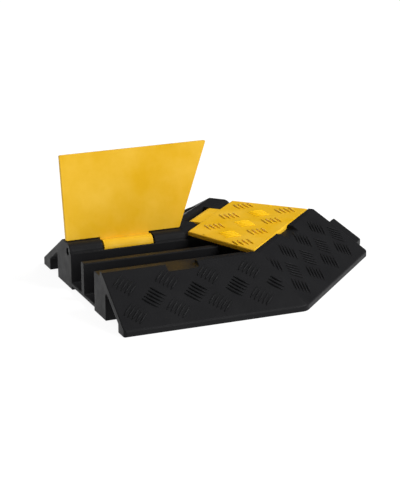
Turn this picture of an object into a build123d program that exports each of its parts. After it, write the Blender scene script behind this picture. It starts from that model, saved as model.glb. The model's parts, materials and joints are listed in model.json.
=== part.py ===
from build123d import *
import os
from math import cos, hypot, radians, sin, tan

os.makedirs("parts", exist_ok=True)

# A bend element of a cable protector ramp: a rubber base with two cable channels that turns
# by 45 degrees, and one hinged lid over each of its two arms.
# Every section is drawn across an arm: "across" is positive towards the inside of the bend
# and is measured from the partition between the channels, and height is above the floor.
# Distances along an arm are measured from the bend on that same line.

# Driving dimensions, in millimetres and degrees
bend_angle = 45
arm_length = 142
ramp_height = 46
foot_height = 6
outer_foot = -120
inner_foot = 130
outer_ridge_outside = -58.5
outer_ridge_inside = -52.5
inner_ridge = 63
channel_side = 35.6
partition_half = 4
channel_floor = 6.5
underside_relief = 3.5
relief_side = 34
partition_height = 39.2
seat_height = 41.2
lid_thickness = 4.5
lid_gap = 0.3
lid_hinge_edge = 35.8
lid_end_gap = 0.5
lid_mitre_gap = 2
lid_edge_radius = 1.5
open_angle = 100

# Hinge: round knuckles on the base, a barrel on the lid and a steel pin
hinge_across = 45.9
barrel_radius = 8.1
barrel_gap = 0.4
pin_radius = 4
pin_grip_gap = 0.01
pin_running_gap = 0.06
pin_recess = 1.5
pin_far_end = 27
tongue_start = 51.5
tongue_end = 105
tongue_side_gap = 1.5
slot_back = 56

# Finger notch in the outer ridge
notch_start = 42.5
notch_end = 75.5
notch_reach = 24
notch_radius = 2

# Hollows under the two ramps, which are the sockets at the left end
skin_thickness = 7
outer_wall_back = -67.5
outer_sole_inside = -103
inner_wall_back = 80
inner_sole_inside = 106
haunch_width = 4
haunch_height = 26
bend_rib_half = 4
rib_thickness = 5
outer_rib_places = [95, 50, 5]
inner_rib_places = [92]

# Tabs on the right end, which enter the sockets of the next element
tab_length = 31
tab_clearance = 0.7
tab_radius = 2
end_wall = 8

# Edge radii of the rubber moulding
ridge_radius = 2
foot_radius = 2.5
sole_radius = 1
end_corner_radius = 3
bend_corner_radius = 11
seat_radius = 0.8
floor_radius = 1.5
hollow_radius = 2

# Values that follow from the driving dimensions
half_turn = bend_angle / 2
half_turn_slope = tan(radians(half_turn))
lid_bottom = ramp_height - lid_thickness
lid_free_edge = outer_ridge_inside + lid_gap
knuckle_radius = barrel_radius + lid_gap
hinge_height = ramp_height - knuckle_radius
past_the_bend = arm_length + inner_foot
turn_across = outer_foot + bend_corner_radius
outer_fall = (ramp_height - foot_height) / (outer_ridge_outside - outer_foot)
turn_height = foot_height + bend_corner_radius * outer_fall
inner_fall = (ramp_height - foot_height) / (inner_foot - inner_ridge)

# The origin is on the floor, below the centre of the box around the ramp with its left lid open
right_end_corner = arm_length + tab_length, outer_sole_inside + tab_clearance
inner_tab_corner = arm_length + tab_length, inner_sole_inside - tab_clearance
turn_cos, turn_sin = cos(radians(bend_angle)), sin(radians(bend_angle))
reach_right = right_end_corner[0] * turn_cos - right_end_corner[1] * turn_sin
reach_back = inner_tab_corner[0] * turn_sin + inner_tab_corner[1] * turn_cos
bend_x = (arm_length - reach_right) / 2
bend_y = -(outer_foot + reach_back) / 2
bend_point = Vector(bend_x, bend_y, 0)

mitre = Plane(origin=bend_point, z_dir=(cos(radians(half_turn)), sin(radians(half_turn)), 0))
right_along = Vector(turn_cos, turn_sin, 0)
right_across = Vector(-turn_sin, turn_cos, 0)


def left_section(distance):
    """The plane across the left arm at a distance from the bend, facing the bend."""
    return Plane(origin=bend_point - Vector(distance, 0, 0), x_dir=(0, 1, 0), z_dir=(1, 0, 0))


def right_section(distance):
    """The plane across the right arm at a distance from the bend, facing its end."""
    return Plane(origin=bend_point + right_along * distance, x_dir=right_across, z_dir=right_along)


def corners(sketch, places):
    """The vertices of a sketch that lie nearest to the given places."""
    return [sketch.vertices().sort_by_distance(place)[0] for place in places]


def outer_skin_under(across):
    """Height of the inside of the outer ramp's skin."""
    surface = ramp_height - (outer_ridge_outside - across) * outer_fall
    return surface - skin_thickness * hypot(1, outer_fall)


def inner_skin_under(across):
    """Height of the inside of the inner ramp's skin."""
    surface = ramp_height - (across - inner_ridge) * inner_fall
    return surface - skin_thickness * hypot(1, inner_fall)


outer_hollow = [
    (outer_wall_back, 0),
    (outer_wall_back, haunch_height),
    (outer_wall_back - haunch_width, outer_skin_under(outer_wall_back - haunch_width)),
    (outer_sole_inside, outer_skin_under(outer_sole_inside)),
    (outer_sole_inside, 0),
]
inner_hollow = [
    (inner_wall_back, 0),
    (inner_wall_back, inner_skin_under(inner_wall_back)),
    (inner_sole_inside, inner_skin_under(inner_sole_inside)),
    (inner_sole_inside, 0),
]

# Hollow under one arm's two ramps, open below and at the end, with the ribs left standing
with BuildPart() as hollow:
    for outline in (outer_hollow, inner_hollow):
        with BuildSketch(left_section(arm_length)) as hollow_section:
            with BuildLine():
                Polyline(*outline, close=True)
            make_face()
            fillet(corners(hollow_section, outline[1:-1]), radius=hollow_radius)
        extrude(amount=past_the_bend)
    split(bisect_by=mitre.offset(-bend_rib_half), keep=Keep.BOTTOM)
    for side, places in ((Align.MAX, outer_rib_places), (Align.MIN, inner_rib_places)):
        for place in places:
            with BuildSketch(left_section(place)):
                Rectangle(inner_foot, 3 * ramp_height, align=(side, Align.CENTER))
            extrude(amount=rib_thickness, mode=Mode.SUBTRACT)

# One arm of the base, from its end to the mitre plane
with BuildPart() as arm:
    with BuildSketch(left_section(arm_length)) as profile:
        with BuildLine():
            up_to_hinge = Polyline(
                (relief_side, 0),
                (relief_side, underside_relief),
                (-relief_side, underside_relief),
                (-relief_side, 0),
                (outer_foot, 0),
                (outer_foot, foot_height),
                (outer_ridge_outside, ramp_height),
                (outer_ridge_inside, ramp_height),
                (outer_ridge_inside, seat_height),
                (-channel_side, seat_height),
                (-channel_side, channel_floor),
                (-partition_half, channel_floor),
                (-partition_half, partition_height),
                (partition_half, partition_height),
                (partition_half, channel_floor),
                (channel_side, channel_floor),
                (channel_side, hinge_height),
                (hinge_across - knuckle_radius, hinge_height),
            )
            knuckle = RadiusArc(up_to_hinge @ 1, (hinge_across, ramp_height), knuckle_radius)
            Polyline(
                knuckle @ 1,
                (inner_ridge, ramp_height),
                (inner_foot, foot_height),
                (inner_foot, 0),
                (relief_side, 0),
            )
        make_face()
        ridges = [(outer_ridge_outside, ramp_height), (inner_ridge, ramp_height)]
        feet = [(outer_foot, foot_height), (inner_foot, foot_height)]
        soles = [(outer_foot, 0), (inner_foot, 0)]
        seats = [
            (outer_ridge_inside, ramp_height),
            (-channel_side, seat_height),
            (-partition_half, partition_height),
            (partition_half, partition_height),
        ]
        floors = [
            (-channel_side, channel_floor),
            (-partition_half, channel_floor),
            (partition_half, channel_floor),
            (channel_side, channel_floor),
        ]
        fillet(corners(profile, ridges), radius=ridge_radius)
        fillet(corners(profile, feet), radius=foot_radius)
        fillet(corners(profile, soles), radius=sole_radius)
        fillet(corners(profile, seats), radius=seat_radius)
        fillet(corners(profile, floors), radius=floor_radius)
    extrude(amount=past_the_bend)
    split(bisect_by=mitre, keep=Keep.BOTTOM)
    with BuildSketch(Plane.XY) as plan:
        with Locations((bend_x - arm_length, bend_y + outer_foot)):
            Rectangle(past_the_bend, inner_foot - outer_foot, align=(Align.MIN, Align.MIN))
        fillet(plan.vertices().group_by(Axis.X)[0], radius=end_corner_radius)
    extrude(amount=ramp_height, mode=Mode.INTERSECT)
    add(hollow.part, mode=Mode.SUBTRACT)

    # Slot for the lid's barrel, which leaves a low lip beside the channel
    slot_front = hinge_across - barrel_radius - barrel_gap
    slot_bottom = hinge_height - barrel_radius - barrel_gap
    with BuildSketch(left_section(tongue_end + tongue_side_gap)):
        with Locations((slot_front, slot_bottom)):
            Rectangle(slot_back - slot_front, ramp_height, align=(Align.MIN, Align.MIN))
    extrude(amount=tongue_end - tongue_start + 2 * tongue_side_gap, mode=Mode.SUBTRACT)

    # Blind bore for the hinge pin
    with BuildSketch(left_section(arm_length)):
        with Locations((hinge_across, hinge_height)):
            Circle(pin_radius + pin_grip_gap)
    extrude(amount=arm_length - pin_far_end, mode=Mode.SUBTRACT)

    # Finger notch across the outer ridge, level with the lid's seat
    with BuildSketch(Plane.XZ.offset(-bend_y - outer_ridge_inside - seat_radius)) as notch:
        with Locations((bend_x - notch_end, seat_height)):
            Rectangle(notch_end - notch_start, ramp_height, align=(Align.MIN, Align.MIN))
        fillet(notch.vertices().group_by(Axis.Y)[0], radius=notch_radius)
    extrude(amount=notch_reach, mode=Mode.SUBTRACT)

# Rubber base: both arms, the rounded outer corner of the bend, and the right end with its tabs
turn_point = bend_point + Vector(-turn_across * half_turn_slope, turn_across, 0)
with BuildPart() as base:
    add(arm.part)
    mirror(arm.part, about=mitre)
    with BuildSketch(Plane.XY):
        with BuildLine():
            Polyline(
                turn_point,
                turn_point + Vector(0, -3 * bend_corner_radius, 0),
                turn_point - right_across * 3 * bend_corner_radius,
                close=True,
            )
        make_face()
    extrude(amount=ramp_height, mode=Mode.SUBTRACT)
    with BuildSketch(left_section(turn_across * half_turn_slope)) as corner:
        with BuildLine():
            Polyline(
                (turn_across, 0),
                (outer_foot, 0),
                (outer_foot, foot_height),
                (turn_across, turn_height),
                close=True,
            )
        make_face()
        fillet(corners(corner, [(outer_foot, foot_height)]), radius=foot_radius)
        fillet(corners(corner, [(outer_foot, 0)]), radius=sole_radius)
    revolve(axis=Axis(origin=turn_point, direction=(0, 0, 1)), revolution_arc=bend_angle)
    for outline in (outer_hollow, inner_hollow):
        with BuildSketch(right_section(arm_length)):
            with BuildLine():
                Polyline(*outline, close=True)
            make_face()
        extrude(amount=-end_wall)
        with BuildSketch(right_section(arm_length)) as tab_section:
            with BuildLine():
                Polyline(*outline, close=True)
            make_face()
            offset(amount=-tab_clearance, kind=Kind.INTERSECTION, mode=Mode.REPLACE)
            fillet(tab_section.vertices(), radius=tab_radius)
        extrude(amount=tab_length)
base.part.label = "base"
export_step(base.part, "parts/base.step")

# Lid of the left arm in its closed place: a flat mitred plate with the hinge tongue
with BuildPart() as closed_lid:
    with BuildSketch(Plane.XY.offset(lid_bottom)) as plate:
        lid_end = bend_x - arm_length + lid_end_gap
        mitre_shift = lid_mitre_gap / cos(radians(half_turn))
        free_corner = bend_x - lid_free_edge * half_turn_slope - mitre_shift
        hinge_corner = bend_x - lid_hinge_edge * half_turn_slope - mitre_shift
        with BuildLine():
            Polyline(
                (lid_end, bend_y + lid_free_edge),
                (free_corner, bend_y + lid_free_edge),
                (hinge_corner, bend_y + lid_hinge_edge),
                (lid_end, bend_y + lid_hinge_edge),
                close=True,
            )
        make_face()
        fillet(plate.vertices(), radius=lid_edge_radius)
    extrude(amount=lid_thickness)
    fillet(closed_lid.faces().sort_by(Axis.Z)[-1].edges(), radius=lid_edge_radius)
    with BuildSketch(left_section(tongue_end)) as tongue:
        with Locations((hinge_across, hinge_height + barrel_radius)):
            Rectangle(
                hinge_across - lid_hinge_edge + 2 * lid_edge_radius,
                hinge_height + barrel_radius - lid_bottom,
                align=(Align.MAX, Align.MAX),
            )
        with Locations((hinge_across, hinge_height)):
            Circle(barrel_radius)
    extrude(amount=tongue_end - tongue_start)
    with BuildSketch(left_section(tongue_end)):
        with Locations((hinge_across, hinge_height)):
            Circle(pin_radius + pin_running_gap)
    extrude(amount=tongue_end - tongue_start, mode=Mode.SUBTRACT)

hinge_line = Axis(origin=bend_point + Vector(0, hinge_across, hinge_height), direction=(-1, 0, 0))

# The left lid rests open, leaning back on the inner ridge
with BuildPart() as lid_left:
    add(closed_lid.part.rotate(hinge_line, open_angle))
lid_left.part.label = "lid_left"
export_step(lid_left.part, "parts/lid_left.step")

# The right lid rests closed
with BuildPart() as lid_right:
    mirror(closed_lid.part, about=mitre)
lid_right.part.label = "lid_right"
export_step(lid_right.part, "parts/lid_right.step")

with BuildPart() as hinge_pin_left:
    with BuildSketch(left_section(arm_length - pin_recess)):
        with Locations((hinge_across, hinge_height)):
            Circle(pin_radius)
    extrude(amount=arm_length - pin_recess - pin_far_end)
    chamfer(hinge_pin_left.edges().filter_by(GeomType.CIRCLE), length=pin_radius / 6)
hinge_pin_left.part.label = "hinge_pin_left"
export_step(hinge_pin_left.part, "parts/hinge_pin_left.step")

with BuildPart() as hinge_pin_right:
    mirror(hinge_pin_left.part, about=mitre)
hinge_pin_right.part.label = "hinge_pin_right"
export_step(hinge_pin_right.part, "parts/hinge_pin_right.step")
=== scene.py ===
import json
import math

import bmesh
import bpy
from mathutils import Matrix, Quaternion, Vector


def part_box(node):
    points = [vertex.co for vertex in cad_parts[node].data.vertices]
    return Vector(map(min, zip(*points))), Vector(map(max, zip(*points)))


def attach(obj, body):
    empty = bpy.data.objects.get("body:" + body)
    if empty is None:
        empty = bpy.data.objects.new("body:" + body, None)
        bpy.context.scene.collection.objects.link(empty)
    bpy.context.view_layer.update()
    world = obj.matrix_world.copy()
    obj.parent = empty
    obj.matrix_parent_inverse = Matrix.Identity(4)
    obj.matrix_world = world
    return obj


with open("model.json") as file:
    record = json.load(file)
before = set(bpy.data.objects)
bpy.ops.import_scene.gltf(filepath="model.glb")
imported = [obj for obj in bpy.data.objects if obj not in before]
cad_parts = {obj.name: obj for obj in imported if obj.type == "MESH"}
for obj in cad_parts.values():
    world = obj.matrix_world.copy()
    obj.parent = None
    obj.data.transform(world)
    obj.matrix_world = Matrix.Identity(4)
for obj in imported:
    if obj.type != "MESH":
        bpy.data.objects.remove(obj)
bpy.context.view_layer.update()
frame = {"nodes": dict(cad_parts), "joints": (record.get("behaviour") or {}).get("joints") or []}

# Looks, treads, light and camera for a bend element of a cable protector ramp.
# Lengths are in metres, and MM turns the design's millimetres into them.
MM = 0.001

# The design's sections across an arm: "across" is measured from the partition between the
# channels and is positive towards the inside of the bend.
ARM_LENGTH = 142 * MM
HINGE_ACROSS = 45.9 * MM
RIDGE_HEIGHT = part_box("base")[1].z
FOOT_HEIGHT = 6 * MM
OUTER_RIDGE, OUTER_FOOT = -58.5 * MM, -120 * MM
INNER_RIDGE, INNER_FOOT = 63 * MM, 130 * MM
LID_FREE_EDGE, LID_HINGE_EDGE = -52.2 * MM, 35.8 * MM

# Tread bars: lens-shaped, in groups that lean one way or the other by 45 degrees
BAR_LENGTH = 19 * MM
BAR_WIDTH = 2.5 * MM
BAR_HEIGHT = 1.6 * MM
BAR_SUNK = 0.3 * MM
BAR_STEPS = 12
BAR_ARC_STEPS = 6
SHORTEST_BAR = 6 * MM
GROUPS_PER_ROW = 4
LENGTH_STEPS = 38
BARE_EDGE = 3.5 * MM
LEAN = math.sqrt(0.5)

UP = Vector((0, 0, 1))
joints = {joint["name"]: joint for joint in frame["joints"]}


def unit(vector):
    return Vector(vector).normalized()


# Both arms are run along in the same direction, from the left end past the bend to the right end
LEFT_ALONG = -unit(joints["lid_left_hinge"]["axis"])
RIGHT_ALONG = -unit(joints["lid_right_hinge"]["axis"])
HALF_TURN_SLOPE = math.tan(LEFT_ALONG.angle(RIGHT_ALONG) / 2)
BEND = Vector(joints["lid_left_hinge"]["pos_m"]) - UP.cross(LEFT_ALONG) * HINGE_ACROSS
BEND.z = 0


class Surface:
    """A flat face of one arm, with a place on it given by the distance along the arm from the bend,
    the distance from its starting line and the height above it."""

    def __init__(self, along, start_across, start_height, end_across, end_height):
        self.along = along
        inwards = UP.cross(along)
        self.origin = BEND + inwards * start_across + UP * start_height
        fall = inwards * (end_across - start_across) + UP * (end_height - start_height)
        self.start_across = start_across
        self.length = fall.length
        self.away = fall.normalized()
        self.across_per_away = (end_across - start_across) / self.length
        self.normal = self.away.cross(along)
        if self.normal.z < 0:
            self.normal.negate()

    def place(self, along, away, height):
        return self.origin + self.along * along + self.away * away + self.normal * height

    def has_room(self, along, away):
        """True where a place is on the surface and clear of its edges."""
        if not BARE_EDGE <= away <= self.length - BARE_EDGE:
            return False
        mitre = (self.start_across + self.across_per_away * away) * HALF_TURN_SLOPE
        if self.along == LEFT_ALONG:
            return BARE_EDGE - ARM_LENGTH <= along <= -mitre - BARE_EDGE
        return mitre + BARE_EDGE <= along <= ARM_LENGTH - BARE_EDGE


# Materials

def new_material(name):
    material = bpy.data.materials.new(name)
    material.use_nodes = True
    nodes = material.node_tree.nodes
    return material, nodes, material.node_tree.links, nodes["Principled BSDF"]


def noise(nodes, links, scale, detail=3.0):
    texture = nodes.new("ShaderNodeTexNoise")
    texture.inputs["Scale"].default_value = scale
    texture.inputs["Detail"].default_value = detail
    texture.inputs["Roughness"].default_value = 0.55
    coordinate = nodes.new("ShaderNodeTexCoord")
    links.new(coordinate.outputs["Object"], texture.inputs["Vector"])
    return texture.outputs["Fac"]


def ramp(nodes, links, value, stops):
    """A colour ramp on a value, with (position, colour or grey) stops."""
    node = nodes.new("ShaderNodeValToRGB")
    links.new(value, node.inputs["Fac"])
    elements = node.color_ramp.elements
    while len(elements) < len(stops):
        elements.new(0.5)
    for element, (position, colour) in zip(elements, stops):
        element.position = position
        element.color = (*colour, 1) if isinstance(colour, tuple) else (colour, colour, colour, 1)
    return node.outputs["Color"]


def mixed(nodes, links, share, first, second):
    node = nodes.new("ShaderNodeMix")
    node.data_type = "RGBA"
    links.new(share, node.inputs["Factor"])
    links.new(first, node.inputs["A"])
    links.new(second, node.inputs["B"])
    return node.outputs["Result"]


def bump(nodes, links, height, distance, strength=1.0, normal=None):
    node = nodes.new("ShaderNodeBump")
    node.inputs["Strength"].default_value = strength
    node.inputs["Distance"].default_value = distance
    links.new(height, node.inputs["Height"])
    if normal is not None:
        links.new(normal, node.inputs["Normal"])
    return node.outputs["Normal"]


def rounded_normal(nodes, links, radius):
    """The normal with the sharp edges rounded, and a share that rises from 0 to 1 at those edges."""
    rounded = nodes.new("ShaderNodeBevel")
    rounded.samples = 8
    rounded.inputs["Radius"].default_value = radius
    real = nodes.new("ShaderNodeNewGeometry")
    product = nodes.new("ShaderNodeVectorMath")
    product.operation = "DOT_PRODUCT"
    links.new(rounded.outputs["Normal"], product.inputs[0])
    links.new(real.outputs["Normal"], product.inputs[1])
    edges = ramp(nodes, links, product.outputs["Value"], [(0.80, 1.0), (0.97, 0.0)])
    return rounded.outputs["Normal"], edges


def rubber_material():
    material, nodes, links, shader = new_material("black_rubber")
    rounded, edges = rounded_normal(nodes, links, 1.6 * MM)
    patches = noise(nodes, links, 22)
    plain = ramp(nodes, links, patches, [(0.3, (0.0112, 0.0112, 0.0120)), (0.7, (0.0138, 0.0138, 0.0147))])
    scuffs = noise(nodes, links, 160, detail=5)
    worn = ramp(nodes, links, scuffs, [(0.4, (0.010, 0.010, 0.011)), (0.7, (0.022, 0.022, 0.021))])
    links.new(mixed(nodes, links, edges, plain, worn), shader.inputs["Base Color"])
    smudges = noise(nodes, links, 60, detail=5)
    links.new(ramp(nodes, links, smudges, [(0.3, 0.32), (0.7, 0.46)]), shader.inputs["Roughness"])
    shader.inputs["Specular IOR Level"].default_value = 0.045
    grain = bump(nodes, links, noise(nodes, links, 1500, detail=2), 0.00006, 1.0, rounded)
    links.new(bump(nodes, links, noise(nodes, links, 90, detail=2), 0.0003, 0.5, grain),
              shader.inputs["Normal"])
    return material


def yellow_material(name, dull, clean):
    """Moulded yellow plastic between a dull and a clean colour."""
    material, nodes, links, shader = new_material(name)
    rounded, edges = rounded_normal(nodes, links, 0.8 * MM)
    patches = noise(nodes, links, 30, detail=4)
    plain = ramp(nodes, links, patches, [(0.3, clean), (0.7, dull)])
    grime = noise(nodes, links, 200, detail=5)
    worn = ramp(nodes, links, grime, [(0.35, (0.60, 0.33, 0.01)), (0.7, (0.78, 0.50, 0.06))])
    links.new(mixed(nodes, links, edges, plain, worn), shader.inputs["Base Color"])
    smudges = noise(nodes, links, 80, detail=5)
    links.new(ramp(nodes, links, smudges, [(0.3, 0.28), (0.7, 0.44)]), shader.inputs["Roughness"])
    shader.inputs["Specular IOR Level"].default_value = 0.07
    grain = bump(nodes, links, noise(nodes, links, 1200, detail=2), 0.00003, 1.0, rounded)
    links.new(bump(nodes, links, noise(nodes, links, 60, detail=2), 0.0004, 0.5, grain),
              shader.inputs["Normal"])
    return material


def steel_material():
    material, nodes, links, shader = new_material("pin_steel")
    stains = noise(nodes, links, 300, detail=4)
    links.new(ramp(nodes, links, stains, [(0.35, (0.40, 0.39, 0.38)), (0.65, (0.58, 0.58, 0.59))]),
              shader.inputs["Base Color"])
    shader.inputs["Metallic"].default_value = 1
    links.new(ramp(nodes, links, noise(nodes, links, 600), [(0.3, 0.25), (0.7, 0.45)]),
              shader.inputs["Roughness"])
    links.new(bump(nodes, links, noise(nodes, links, 900, detail=2), 0.00002), shader.inputs["Normal"])
    return material


rubber, steel = rubber_material(), steel_material()
yellow = yellow_material("yellow_plastic", dull=(0.83, 0.50, 0.040), clean=(0.74, 0.41, 0.004))
# The lid's tread bars get a lighter, more saturated copy of the lid yellow: a painted highlight for the
# light that the raised bars catch.
painted_highlight_yellow = yellow_material("painted_highlight_yellow", dull=(0.88, 0.56, 0.010), clean=(0.86, 0.52, 0.003))
for name, material in (("base", rubber), ("lid_left", yellow), ("lid_right", yellow),
                       ("hinge_pin_left", steel), ("hinge_pin_right", steel)):
    frame["nodes"][name].data.materials[0] = material


# Treads

def add_bar(builder, surface, centre, direction, start, end):
    """A lens-shaped bar on a surface: closed, domed and sunk a little into the surface. A bar that
    is cut short is also made smaller."""
    half_length, half_way = (end - start) / 2, (end + start) / 2
    size = min(1, 2 * half_length / BAR_LENGTH * 1.5)
    rings = []
    for step in range(BAR_STEPS + 1):
        reach = -math.cos(math.pi * step / BAR_STEPS)
        fullness = max(0, 1 - reach * reach)
        run = half_way + half_length * reach
        ring = []
        for arc_step in range(BAR_ARC_STEPS + 1 if 0 < step < BAR_STEPS else 1):
            arc = math.pi * arc_step / BAR_ARC_STEPS
            side = size * BAR_WIDTH / 2 * fullness ** 0.8 * math.cos(arc)
            height = size * (BAR_HEIGHT + BAR_SUNK) * fullness ** 0.4 * math.sin(arc) - BAR_SUNK
            along = centre[0] + direction[0] * run - direction[1] * side
            away = centre[1] + direction[1] * run + direction[0] * side
            ring.append(builder.verts.new(surface.place(along, away, height)))
        rings.append(ring)
    for ring, following in zip(rings, rings[1:]):
        for number in range(max(len(ring), len(following))):
            corners = [ring[number % len(ring)], ring[(number + 1) % len(ring)],
                       following[(number + 1) % len(following)], following[number % len(following)]]
            builder.faces.new(list(dict.fromkeys(corners)))


def add_group(builder, surface, middle, lean, count, spacing):
    """Bars side by side, each cut back to the part of its length that is on the surface."""
    direction = (LEAN, lean * LEAN)
    for number in range(count):
        shift = (number - (count - 1) / 2) * spacing
        centre = (middle[0] - direction[1] * shift, middle[1] + direction[0] * shift)
        reaches = [BAR_LENGTH * (step / LENGTH_STEPS - 0.5) for step in range(LENGTH_STEPS + 1)]
        held = [reach for reach in reaches
                if surface.has_room(centre[0] + direction[0] * reach, centre[1] + direction[1] * reach)]
        if held and held[-1] - held[0] >= SHORTEST_BAR:
            add_bar(builder, surface, centre, direction, held[0], held[-1])


def make_tread(name, body, material, surface, rows, first_shift, turn, count, spacing, pitch):
    """One piece with all the bars of a surface. A row is (distance from the surface's starting line,
    place of its first group along the arm, way that its bars lean)."""
    builder = bmesh.new()
    for away, first, lean in rows:
        for number in range(GROUPS_PER_ROW):
            middle = ((first + first_shift) * MM + number * pitch, away * MM)
            add_group(builder, surface, middle, lean, count, spacing)
    bmesh.ops.recalc_face_normals(builder, faces=builder.faces)
    mesh = bpy.data.meshes.new(name)
    builder.to_mesh(mesh)
    builder.free()
    mesh.transform(turn)
    mesh.shade_smooth()
    mesh.materials.append(material)
    tread = bpy.data.objects.new(name, mesh)
    bpy.context.scene.collection.objects.link(tread)
    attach(tread, body)


def ramp_tread(side, end, along, ridge, foot, rows):
    surface = Surface(along, ridge, RIDGE_HEIGHT, foot, FOOT_HEIGHT)
    make_tread(f"tread_{side}_{end}", "base", rubber, surface, rows, 0,
               Matrix.Identity(4), count=5, spacing=4.3 * MM, pitch=43.9 * MM)


def lid_tread(end, along, first_shift, turn):
    rows = [(20.2, 1, 1), (42.7, 21.7, -1), (68.2, 1, 1)]
    surface = Surface(along, LID_FREE_EDGE, RIDGE_HEIGHT, LID_HINGE_EDGE, RIDGE_HEIGHT)
    # The bars use the lighter yellow copy, which is a painted highlight.
    make_tread(f"tread_lid_{end}", f"lid_{end}", painted_highlight_yellow, surface, rows, first_shift,
               turn, count=4, spacing=5.3 * MM, pitch=41.3 * MM)


def opened_by(joint):
    """The turn from a lid's closed place to its place at rest."""
    hinge = Matrix.Translation(Vector(joint["pos_m"]))
    angle = -math.radians(joint["range_deg"][0])
    return hinge @ Matrix.Rotation(angle, 4, Vector(joint["axis"])) @ hinge.inverted()


ramp_tread("outer", "left", LEFT_ALONG, OUTER_RIDGE, OUTER_FOOT,
           [(18.5, -124, -1), (37.7, -100, 1), (54, -124, -1)])
ramp_tread("outer", "right", RIGHT_ALONG, OUTER_RIDGE, OUTER_FOOT,
           [(18.5, -24.5, -1), (37.7, -6, 1), (54, -24.5, -1)])
ramp_tread("inner", "left", LEFT_ALONG, INNER_RIDGE, INNER_FOOT,
           [(20, -124, -1), (39, -102, 1), (58, -124, -1)])
ramp_tread("inner", "right", RIGHT_ALONG, INNER_RIDGE, INNER_FOOT,
           [(20, 30, -1), (39, 52, 1), (58, 30, -1)])
lid_tread("left", LEFT_ALONG, -125, opened_by(joints["lid_left_hinge"]))
lid_tread("right", RIGHT_ALONG, 0, opened_by(joints["lid_right_hinge"]))


# Floor, light and camera

def make_floor():
    mesh = bpy.data.meshes.new("floor")
    builder = bmesh.new()
    bmesh.ops.create_circle(builder, cap_ends=True, radius=12, segments=64)
    builder.to_mesh(mesh)
    builder.free()
    floor = bpy.data.objects.new("floor", mesh)
    bpy.context.scene.collection.objects.link(floor)
    material, nodes, links, shader = new_material("floor")
    shader.inputs["Base Color"].default_value = (0.15, 0.15, 0.15, 1)
    shader.inputs["Roughness"].default_value = 0.9
    shader.inputs["Specular IOR Level"].default_value = 0.0
    shader.inputs["Emission Color"].default_value = (1, 1, 1, 1)
    shader.inputs["Emission Strength"].default_value = 0.92
    mesh.materials.append(material)


def make_studio(scene):
    """A white backdrop for the camera, and a dim ceiling above dark walls."""
    world = bpy.data.worlds.new("studio")
    scene.world = world
    world.use_nodes = True
    nodes, links = world.node_tree.nodes, world.node_tree.links
    direction = nodes.new("ShaderNodeTexCoord")
    parts = nodes.new("ShaderNodeSeparateXYZ")
    links.new(direction.outputs["Generated"], parts.inputs["Vector"])
    ceiling = ramp(nodes, links, parts.outputs["Z"], [(0.50, 0.03), (0.80, 0.3)])
    seen = nodes.new("ShaderNodeLightPath").outputs["Is Camera Ray"]
    brighter = nodes.new("ShaderNodeMath")
    brighter.operation = "MAXIMUM"
    links.new(ceiling, brighter.inputs[0])
    links.new(seen, brighter.inputs[1])
    links.new(brighter.outputs["Value"], nodes["Background"].inputs["Strength"])
    nodes["Background"].inputs["Color"].default_value = (1, 1, 1, 1)


def make_sun(name, direction, spread, strength):
    """A sun seen in a direction from the object, as wide as its spread in degrees."""
    light = bpy.data.lights.new(name, "SUN")
    light.angle = math.radians(spread)
    light.energy = strength
    lamp = bpy.data.objects.new(name, light)
    lamp.rotation_mode = "QUATERNION"
    lamp.rotation_quaternion = (-Vector(direction)).to_track_quat("-Z", "Y")
    bpy.context.scene.collection.objects.link(lamp)


def make_camera(scene, place, azimuth, elevation, roll, lens):
    camera = bpy.data.objects.new("camera", bpy.data.cameras.new("camera"))
    camera.data.lens = lens
    camera.data.sensor_width = 36
    camera.location = place
    towards = Vector((-math.sin(azimuth) * math.cos(elevation), math.cos(azimuth) * math.cos(elevation),
                      -math.sin(elevation)))
    camera.rotation_mode = "QUATERNION"
    camera.rotation_quaternion = towards.to_track_quat("-Z", "Y") @ Quaternion((0, 0, 1), roll)
    scene.collection.objects.link(camera)
    scene.camera = camera


scene = bpy.context.scene
scene.view_settings.view_transform = "Standard"
make_floor()
make_studio(scene)
make_sun("key", direction=(0.35, -0.85, 0.30), spread=20, strength=1.2)
make_sun("top", direction=(0.66, -0.30, 0.72), spread=30, strength=2.7)
make_sun("back", direction=(-0.20, 0.85, 0.50), spread=40, strength=1.0)
make_camera(scene, place=(-0.7223, -1.6991, 0.6058), azimuth=math.radians(-22.294),
            elevation=math.radians(17.597), roll=math.radians(-0.339), lens=132.6)
